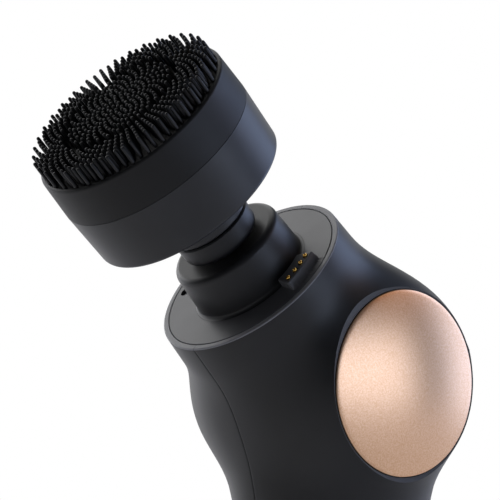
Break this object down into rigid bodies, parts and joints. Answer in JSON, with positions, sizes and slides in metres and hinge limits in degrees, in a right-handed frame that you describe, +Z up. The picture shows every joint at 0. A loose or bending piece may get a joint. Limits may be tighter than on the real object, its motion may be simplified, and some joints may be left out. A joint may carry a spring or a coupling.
{
  "type": "facial cleansing brush",
  "caption": "Hand-held facial cleansing device with a tilted round brush head of silicone bristles, a waisted handle and domed metal side discs.",
  "frame": {"origin": "centre of the flat underside of the rubber foot, on the axis of the handle", "axes": "+Z up the handle; the brush head leans forwards towards -Y at 45 degrees; +X towards the side disc beside the contact ledge"},
  "size_m": [0.058, 0.1115, 0.1753],
  "materials": {
    "soft_touch_shell": "soft-touch coated ABS, fine matt",
    "satin_black": "moulded ABS, satin",
    "plate_grey": "moulded ABS, fine satin texture",
    "silicone": "moulded liquid silicone, satin",
    "rose_disc": "bead-blasted and anodised, champagne",
    "steel": "turned and ground",
    "gold": "gold plated",
    "bronze": "sintered bronze",
    "board": "glass-epoxy laminate with green solder mask",
    "nylon": "moulded nylon",
    "battery_wrap": "shrink sleeve over a steel can",
    "black_glass": "polished acrylic lens",
    "rubber": "moulded rubber, matt",
    "magnet": "nickel-plated magnet"
  },
  "bodies": {
    "body": {"left_shell": "soft_touch_shell", "right_shell": "soft_touch_shell", "base_cap": "soft_touch_shell", "top_plate": "plate_grey", "shaft_hub": "satin_black", "display_module": "satin_black", "left_side_disc": "rose_disc", "right_side_disc": "rose_disc", "left_disc_gasket": "rubber", "right_disc_gasket": "rubber", "shaft_seal": "rubber", "rubber_foot": "rubber", "display_lens": "black_glass", "battery": "battery_wrap", "main_board": "board", "switch_board": "board", "inner_frame": "nylon", "contact_block": "nylon", "power_switch": "nylon", "mode_switch": "nylon", "motor": "steel", "motor_bracket": "steel", "plate_screw": "steel", "shaft_bush": "bronze", "charge_contact_1": "gold", "charge_contact_2": "gold", "base_screw_1": "steel", "base_screw_2": "steel", "base_screw_3": "steel", "bracket_screw_1": "steel", "bracket_screw_2": "steel"},
    "crank": {"motor_shaft": "steel", "eccentric": "bronze"},
    "rod": {"connecting_rod": "nylon", "rod_bearing": "steel", "wrist_pin": "steel"},
    "shaft": {"drive_shaft": "steel", "shaft_collar": "satin_black"},
    "brush_head": {"socket_boss": "satin_black", "brush_cup": "satin_black", "boss_screw_1": "steel", "boss_screw_2": "steel", "boss_screw_3": "steel", "head_magnet": "magnet", "support_plate": "nylon", "silicone_brush": "silicone"},
    "power_key": {"power_button": "satin_black"},
    "mode_key": {"mode_button": "satin_black"},
    "contact_1": {"contact_pin_1": "gold"},
    "contact_2": {"contact_pin_2": "gold"},
    "contact_3": {"contact_pin_3": "gold"},
    "contact_4": {"contact_pin_4": "gold"}
  },
  "joints": [
    {"name": "crank_spin", "type": "hinge", "parent": "body", "child": "crank", "pos_m": [0, 0, 0.094], "axis": [1, 0, 0], "continuous": true},
    {"name": "rod_turn", "type": "hinge", "parent": "crank", "child": "rod", "pos_m": [0, 0.00212, 0.09188], "axis": [1, 0, 0], "continuous": true},
    {"name": "shaft_stroke", "type": "slide", "parent": "body", "child": "shaft", "axis": [0, -0.7071, 0.7071], "range_m": [0, 0.006]},
    {"name": "brush_release", "type": "slide", "parent": "shaft", "child": "brush_head", "axis": [0, -0.7071, 0.7071], "range_m": [0, 0.012]},
    {"name": "power_press", "type": "slide", "parent": "body", "child": "power_key", "axis": [0, -1, 0], "range_m": [0, 0.0008], "stiffness_N_per_m": 900},
    {"name": "mode_press", "type": "slide", "parent": "body", "child": "mode_key", "axis": [0, -1, 0], "range_m": [0, 0.0008], "stiffness_N_per_m": 900},
    {"name": "contact_press_1", "type": "slide", "parent": "body", "child": "contact_1", "axis": [0, 0.7071, -0.7071], "range_m": [0, 0.0005], "stiffness_N_per_m": 300},
    {"name": "contact_press_2", "type": "slide", "parent": "body", "child": "contact_2", "axis": [0, 0.7071, -0.7071], "range_m": [0, 0.0005], "stiffness_N_per_m": 300},
    {"name": "contact_press_3", "type": "slide", "parent": "body", "child": "contact_3", "axis": [0, 0.7071, -0.7071], "range_m": [0, 0.0005], "stiffness_N_per_m": 300},
    {"name": "contact_press_4", "type": "slide", "parent": "body", "child": "contact_4", "axis": [0, 0.7071, -0.7071], "range_m": [0, 0.0005], "stiffness_N_per_m": 300}
  ],
  "couplings": [
    {"joint": "rod_turn", "follows": "crank_spin", "ratio": -1}
  ]
}
